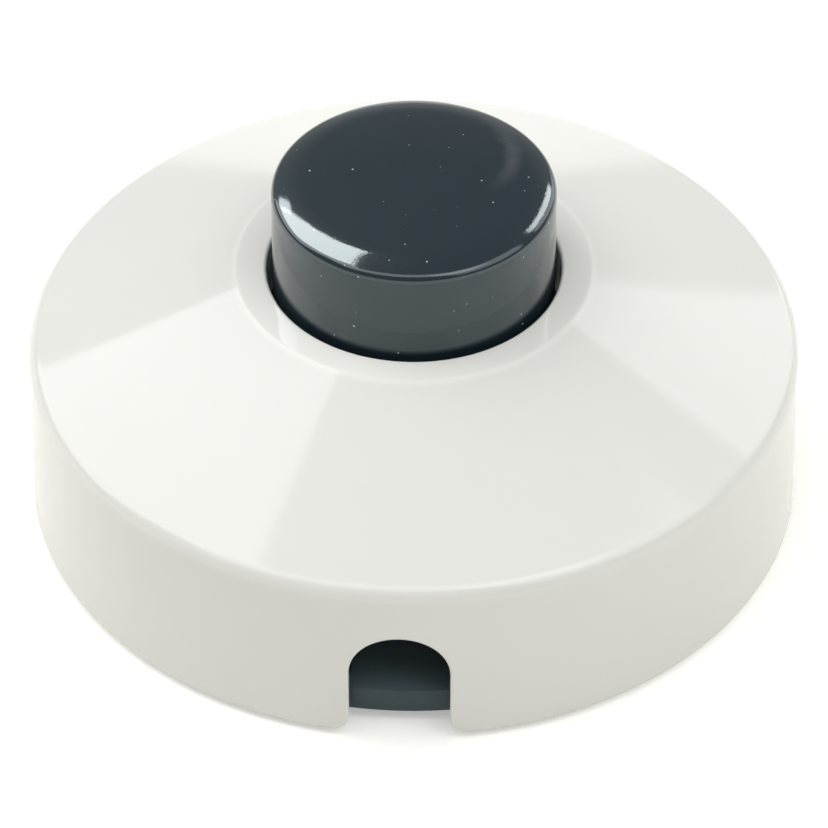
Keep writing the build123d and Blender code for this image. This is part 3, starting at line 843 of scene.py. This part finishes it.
def rim_outline():
    """A quarter of the rim, from the crown of an entry to halfway between the entries, as x, z, its
    angle, the way into the wall, and the share of it that belongs to the entry. It runs down the arch,
    down the entry's side, round its bottom corner and along the flat rim, at an even pace."""
    length = np.linspace(0, arch_length + side_length + corner_length + rim_length, columns_per_quarter + 1)
    arch = np.clip(length, 0, arch_length) / entry_half_width
    side = np.clip(length - arch_length, 0, side_length)
    corner = np.clip(length - arch_length - side_length, 0, corner_length) / entry_corner
    flat = np.clip(length - arch_length - side_length - corner_length, 0, None)
    x = entry_half_width * np.sin(arch) + entry_corner * (1 - np.cos(corner))
    z = entry_spring_z + entry_half_width * np.cos(arch) - side - entry_corner * np.sin(corner)
    angle = np.arcsin(np.clip(x / wall_radius(z), 0, 1)) + flat / cover_radius
    turning = arch + corner
    into_x = np.where(length < arch_length + side_length, np.sin(arch), np.cos(corner))
    into_z = np.where(length < arch_length + side_length, np.cos(arch), np.sin(corner))
    return length, angle, z, into_x, into_z, corner / (np.pi / 2), 1 - smooth_step(flat / (10 * mm))


def cover_grid():
    """The cover's shell as one closed grid. Its columns leave the rim's outline at an even pace and reach
    evenly spread angles at upper_z, and from there on each row is a circle of the revolved profile."""
    length, rim_angle, rim_height, into_x, into_z, corner_share, entry_share = rim_outline()
    even_angle = np.pi / 2 * length / length[-1]
    outer_round = entry_edge_round + (rim_round - entry_edge_round) * smooth_step(corner_share)

    def wall_row(offset, depth):
        """Row on the wall at an offset from the rim's outline and a depth under the outer face."""
        height = rim_height + into_z * offset
        outer = wall_radius(height)
        angle = rim_angle + into_x * offset / outer
        straight = np.arcsin(np.clip(outer * np.sin(angle) / (outer - depth), -1, 1))
        return angle + entry_share * (straight - angle), outer - depth, height

    def wall_patch(offset, depth, shares):
        """Rows from the rim's outline to upper_z, along straight lines in angle and height."""
        angle, _, height = wall_row(offset, depth)
        share = shares[:, None]
        heights = height + (upper_z - height) * share
        return angle + (even_angle - angle) * share, wall_radius(heights) - depth, heights

    shares = np.linspace(0, 1, 20) ** 1.4
    angles, radii, heights = [list(rows) for rows in wall_patch(outer_round, 0, shares[::-1])]
    for turn in np.linspace(0, np.pi / 2, 7)[1:]:
        angle, radius, height = wall_row(outer_round * (1 - np.sin(turn)), outer_round * (1 - np.cos(turn)))
        angles.append(angle)
        radii.append(radius)
        heights.append(height)
    for turn in np.linspace(np.pi / 2, 0, 4):
        angle, radius, height = wall_row(
            inner_edge_round * (1 - np.sin(turn)), cover_wall - inner_edge_round * (1 - np.cos(turn))
        )
        angles.append(angle)
        radii.append(radius)
        heights.append(height)
    inner = wall_patch(inner_edge_round, cover_wall, shares[1::2])
    for rows, new in zip((angles, radii, heights), inner):
        rows.extend(new)
    underside_z = land_z - cover_wall
    upper = rounded_profile(
        [
            (wall_radius(upper_z) - cover_wall, upper_z, 0),
            (*hollow_corner, shoulder_round),
            ((hollow_cone_z - underside_z) / cone_slope, underside_z, small_round),
            (guide_radius, underside_z, small_round),
            (guide_radius, guide_z, small_round),
            (hole_radius, guide_z, small_round),
            (hole_radius, land_z, hole_round),
            (land_radius, land_z, land_round),
            (shoulder_radius, shoulder_z, shoulder_round),
            (wall_radius(upper_z), upper_z, 0),
        ],
        spacing=1.2 * mm,
        arc_steps=10,
    )
    angles.extend(np.repeat(even_angle[None], len(upper), 0))
    radii.extend(upper[:, :1] + 0 * even_angle)
    heights.extend(upper[:, 1:] + 0 * even_angle)
    angle, radius, height = np.array(angles), np.array([r + 0 * even_angle for r in radii]), np.array(heights)
    angle = np.concatenate([angle, np.pi - angle[:, ::-1], np.pi + angle, 2 * np.pi - angle[:, ::-1]], 1)
    radius = np.concatenate([radius, radius[:, ::-1]] * 2, 1)
    height = np.concatenate([height, height[:, ::-1]] * 2, 1)
    return np.stack([radius * np.sin(angle), -radius * np.cos(angle), height], -1)


def underside_of_cone(radius):
    """Height of the sloped wall's inner face at a radius."""
    return shoulder_z + (shoulder_radius - radius) * cone_slope - cone_drop


def cover_rib(turn):
    """Rib under the sloped wall, at a turn round the axis: a bar of even thickness with rounded lower
    edges, whose section is swept from the guide sleeve to the outer wall and closed at both ends. It
    starts and ends inside the sleeve and the wall, and its top lies inside the sloped wall."""
    root = guide_radius - guide_wall / 2
    end = cover_radius - 1.4 * mm
    corner = hollow_corner[0]
    radius = np.concatenate([[root], np.linspace(root, end, 24), [end]])[:, None]
    low = np.interp(
        radius,
        [root, corner, end],
        [underside_of_cone(guide_radius) - rib_depth] + 2 * [hollow_corner[1] - rib_depth],
    )
    high = underside_of_cone(radius) + 0.5 * mm
    bend = np.linspace(0, np.pi / 2, 5)
    side = rib_thickness / 2 - inner_edge_round * (1 - np.sin(bend))
    rise = inner_edge_round * (1 - np.cos(bend))
    top = rib_thickness / 2
    across = np.concatenate([[-top], -side[::-1], side, [top, -top]])[None]
    lift = np.concatenate([[0], rise[::-1], rise, [0, 0]])[None]
    is_top = np.concatenate([[True], np.zeros(10, bool), [True, True]])[None]
    height = np.where(is_top, high, low + lift)
    across = np.repeat(across, len(radius), 0)
    across[[0, -1]] = 0
    height[[0, -1]] = ((low + high) / 2)[[0, -1]]
    return np.stack(
        [
            radius * math.cos(turn) - across * math.sin(turn),
            radius * math.sin(turn) + across * math.cos(turn),
            height,
        ],
        -1,
    )


def screw_boss(middle_x):
    """Round post for a cover screw: a turned profile with a blind bore, whose top ends inside the sloped
    wall, sunk over its inner face by boss_sink."""
    post = rounded_profile(
        [
            (0, bore_z, 0),
            (bore_radius, bore_z, inner_edge_round),
            (bore_radius, boss_z, inner_edge_round),
            (boss_radius, boss_z, inner_edge_round),
            (boss_radius, land_z, 0),
            (0, land_z, 0),
        ],
        spacing=100 * mm,
        arc_steps=5,
    )
    grid = turned(post, 64, (middle_x, 0))
    from_axis = np.hypot(grid[..., 0], grid[..., 1])
    is_top = grid[..., 2] > land_z - boss_sink
    grid[..., 2] = np.where(is_top, underside_of_cone(from_axis) + boss_sink, grid[..., 2])
    return grid


rib_thickness = 1.2 * mm
rib_depth = 2.4 * mm
boss_radius = 3.0 * mm
boss_z = 5.0 * mm
boss_sink = 1.0 * mm
bore_radius = 1.33 * mm
bore_depth = 12.0 * mm
bore_z = boss_z + bore_depth
cover_screw_head = 2.7 * mm
boss_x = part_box("cover_screw_right")[1].x - cover_screw_head
cover_plastic = moulded_plastic(
    name="cover_plastic",
    colour=(0.80, 0.80, 0.765),
    shade=(0.785, 0.787, 0.75),
    gloss=(0.06, 0.10),
    waves=650.0,
    peel_depth=0.006 * mm,
    dust=(0.10, 0.09, 0.08),
    dust_cells=160.0,
    dust_share=0.02,
    dust_size=0.045,
)


def land_painted_light(material):
    """Painted light: a paler tone on the flat land round the button, lifting the shade and dark reflection
    that the button casts there, with a soft edge 1 mm wide.
    """
    tree = material.node_tree
    place = add_node(tree, "ShaderNodeTexCoord").outputs["Object"]
    flat = add_node(
        tree, "ShaderNodeVectorMath", {0: place, 1: (1.0, 1.0, 0.0)}, operation="MULTIPLY"
    )
    reach = add_node(tree, "ShaderNodeVectorMath", {0: flat.outputs[0]}, operation="LENGTH")
    mask = add_node(
        tree,
        "ShaderNodeMapRange",
        {
            "Value": reach.outputs["Value"],
            "From Min": land_radius - 0.2 * mm,
            "From Max": land_radius + 0.8 * mm,
            "To Min": 1.0,
            "To Max": 0.0,
        },
        interpolation_type="SMOOTHSTEP",
    )
    # Painted light: a paler warm white laid over the land.
    lay_over(material, mask.outputs[0], (0.875, 0.875, 0.83))


# Painted light on the land, lifting the button's shade round its foot.
land_painted_light(cover_plastic)
cover_ribs = [cover_rib(math.radians(60 * step)) for step in range(6)]
cover = mesh_piece(
    "cover_shell",
    [cover_grid(), *cover_ribs, screw_boss(boss_x), screw_boss(-boss_x)],
    cover_plastic,
    "case",
)
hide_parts("cover")

# Cover screws: two longer screws, up through the base into the cover's bosses from below.

shank_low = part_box("cover_screw_left")[0].z + head_depth
shank_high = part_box("cover_screw_left")[1].z
cover_screw_steel = worked_metal(
    "cover_screw_steel",
    (0.62, 0.63, 0.64),
    (0.50, 0.50, 0.49),
    (0.2, 0.34),
    1.0,
    (shank_low, shank_high),
)
for node_name in ("cover_screw_left", "cover_screw_right"):
    dress(node_name, cover_screw_steel, 0.1 * mm)

# Rubber feet: four soft black discs bonded into the base's pockets, with a rounded lower edge.

foot_radius = 4.0 * mm
foot_round = 0.5 * mm


def matt_rubber():
    """Black rubber: dull, with a fine grain in its height and dust in the grain."""
    material = moulded_plastic(
        name="foot_rubber",
        colour=(0.018, 0.018, 0.018),
        shade=(0.028, 0.028, 0.027),
        gloss=(0.62, 0.78),
        waves=3200.0,
        peel_depth=0.03 * mm,
        dust=(0.20, 0.19, 0.18),
        dust_cells=900.0,
        dust_share=0.08,
        dust_size=0.2,
    )
    material.node_tree.nodes["Principled BSDF"].inputs["Specular IOR Level"].default_value = 0.3
    return material


foot_rubber = matt_rubber()
for number in range(1, 5):
    foot_low, foot_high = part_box(f"rubber_foot_{number}")
    foot_profile = rounded_profile(
        [
            (0, foot_low.z, 0),
            (foot_radius, foot_low.z, foot_round),
            (foot_radius, foot_high.z, small_round),
            (0, foot_high.z, 0),
        ],
        spacing=0.6 * mm,
        arc_steps=7,
    )
    foot_middle = (foot_low + foot_high) / 2
    foot = mesh_piece(
        f"rubber_foot_{number}_disc",
        [turned(foot_profile, 96, foot_middle)],
        foot_rubber,
        "case",
    )
    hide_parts(f"rubber_foot_{number}")

# Floor: a wide sheet of white paper under the switch, a hair below its feet. It is drawn white to the
# lens and to gloss, more so far from the switch, and keeps the soft shadow.

floor_radius = 6.0
floor_corners = 96
floor_gap = 0.02 * mm
floor_glow = 0.37
floor_mesh = bpy.data.meshes.new("floor")
floor_angle = np.linspace(0, 2 * np.pi, floor_corners + 1)[:-1]
floor_points = np.stack(
    [floor_radius * np.cos(floor_angle), floor_radius * np.sin(floor_angle), 0 * floor_angle], -1
)
floor_mesh.from_pydata(floor_points.tolist(), [], [list(range(floor_corners))])
floor = bpy.data.objects.new("floor", floor_mesh)
floor.location.z = -floor_gap
bpy.context.scene.collection.objects.link(floor)
floor_paper = bpy.data.materials.new("floor_paper")
floor_paper.use_nodes = True
tree = floor_paper.node_tree
tree.nodes.remove(tree.nodes["Principled BSDF"])
paper = add_node(tree, "ShaderNodeBsdfDiffuse", {"Color": (0.83, 0.83, 0.78, 1)})
ray = add_node(tree, "ShaderNodeLightPath")
seen = add_node(
    tree,
    "ShaderNodeMath",
    {0: ray.outputs["Is Camera Ray"], 1: ray.outputs["Is Glossy Ray"]},
    operation="ADD",
)
shown = add_node(
    tree,
    "ShaderNodeMath",
    {0: seen.outputs[0], 1: ray.outputs["Is Transmission Ray"]},
    operation="ADD",
    use_clamp=True,
)
from_switch = add_node(
    tree,
    "ShaderNodeVectorMath",
    {0: add_node(tree, "ShaderNodeTexCoord").outputs["Object"]},
    operation="LENGTH",
)
far = add_node(
    tree,
    "ShaderNodeMapRange",
    {
        "Value": from_switch.outputs["Value"],
        "From Min": 120 * mm,
        "From Max": 600 * mm,
        "To Max": 0.6,
    },
)
far_seen = add_node(
    tree, "ShaderNodeMath", {0: far.outputs[0], 1: ray.outputs["Is Camera Ray"]}, operation="MULTIPLY"
)
lift = add_node(
    tree,
    "ShaderNodeMath",
    {0: shown.outputs[0], 1: floor_glow, 2: far_seen.outputs[0]},
    operation="MULTIPLY_ADD",
)
glow = add_node(
    tree, "ShaderNodeEmission", {"Color": (1, 1, 1, 1), "Strength": lift.outputs[0]}
)
sheet = add_node(tree, "ShaderNodeAddShader", {0: paper.outputs[0], 1: glow.outputs[0]})
tree.links.new(sheet.outputs[0], tree.nodes["Material Output"].inputs["Surface"])
floor_mesh.materials.append(floor_paper)

# Studio: a key softbox above the front, a fill to its right, two softboxes behind the switch, left and
# right, strips that only the button's gloss shows, and a pale room that is brightest low down behind.


def softbox(name, towards, edge_point, half_length, half_width, radiance, distance=1.2):
    """Lamp in a direction from the switch, whose length runs towards edge_point. Its half length and
    half width are angles seen from the switch, and it gives off that radiance."""
    out = Vector(towards).normalized()
    side = Vector(edge_point) - Vector(towards)
    side = (side - side.dot(out) * out).normalized()
    up = out.cross(side)
    lamp = bpy.data.lights.new(name, "AREA")
    lamp.shape = "RECTANGLE"
    lamp.size = 2 * distance * math.tan(math.radians(half_length))
    lamp.size_y = 2 * distance * math.tan(math.radians(half_width))
    lamp.energy = radiance * math.pi * lamp.size * lamp.size_y
    box = bpy.data.objects.new(name, lamp)
    bpy.context.scene.collection.objects.link(box)
    place = out * distance
    box.matrix_world = Matrix(
        (
            (side.x, up.x, out.x, place.x),
            (side.y, up.y, out.y, place.y),
            (side.z, up.z, out.z, place.z),
            (0, 0, 0, 1),
        )
    )
    box.visible_camera = False
    return box


softbox("key_softbox", (-0.03, -0.36, 0.93), (-0.03, 0.0, 1.0), 14.0, 38.0, 1.55)
softbox("fill_softbox", (0.62, -0.27, 0.74), (0.35, -0.1, 0.93), 23.0, 26.0, 1.25)
softbox("left_softbox", (-0.650, 0.279, 0.707), (-0.246, 0.143, 0.958), 26.5, 22.1, 2.25)
softbox("right_softbox", (0.650, 0.646, 0.400), (0.628, 0.276, 0.728), 20.0, 10.9, 1.55)
strip_radiance = 6.5
button_alone = bpy.data.collections.new("button_alone")
button_alone.objects.link(push_button)
for name, towards, edge_point, half_length, half_width in (
    ("left_strip", (-0.464, 0.370, 0.805), (0.265, 0.053, 1.226), 15.5, 12.5),
    ("left_strip_tip", (-0.491, 0.630, 0.602), (0.238, 0.313, 1.023), 4.5, 2.8),
    ("right_strip", (0.467, 0.638, 0.612), (0.514, -0.002, 1.243), 12.0, 2.2),
):
    strip = softbox(name, towards, edge_point, half_length, half_width, strip_radiance)
    strip.visible_diffuse = False
    strip.light_linking.receiver_collection = button_alone
room = bpy.data.worlds.new("room")
bpy.context.scene.world = room
room.use_nodes = True
tree = room.node_tree
direction = add_node(tree, "ShaderNodeTexCoord").outputs["Generated"]
part = add_node(tree, "ShaderNodeSeparateXYZ", {0: direction})
behind = add_node(
    tree, "ShaderNodeMath", {0: part.outputs["Y"], 1: 1.0}, operation="MULTIPLY", use_clamp=True
)
lowness = add_node(
    tree,
    "ShaderNodeMapRange",
    {"Value": part.outputs["Z"], "From Min": 0.0, "From Max": 0.6, "To Min": 0.25, "To Max": 0.0},
)
level = add_node(
    tree,
    "ShaderNodeMath",
    {0: behind.outputs[0], 1: lowness.outputs[0], 2: 0.28},
    operation="MULTIPLY_ADD",
)
tree.links.new(level.outputs[0], tree.nodes["Background"].inputs["Strength"])
tree.nodes["Background"].inputs["Color"].default_value = (1.0, 1.0, 0.98, 1)

# Camera: stands in front and above with a long lens, nearly square to the front cord entry.

camera_azimuth = math.radians(2.1)
camera_elevation = math.radians(40.862)
camera_distance = 537.0 * mm
camera_target = Vector((0, 0, 12.5 * mm))
camera_aim = Vector((0.1 * mm, -2.4 * mm, 9.8 * mm))
lens = bpy.data.cameras.new("camera")
lens.lens = 249.96
lens.sensor_width = 36.0
camera = bpy.data.objects.new("camera", lens)
bpy.context.scene.collection.objects.link(camera)
camera.location = camera_target + camera_distance * Vector(
    (
        math.sin(camera_azimuth) * math.cos(camera_elevation),
        -math.cos(camera_azimuth) * math.cos(camera_elevation),
        math.sin(camera_elevation),
    )
)
camera.rotation_mode = "QUATERNION"
camera.rotation_quaternion = (camera_aim - camera.location).to_track_quat("-Z", "Y")
bpy.context.scene.camera = camera
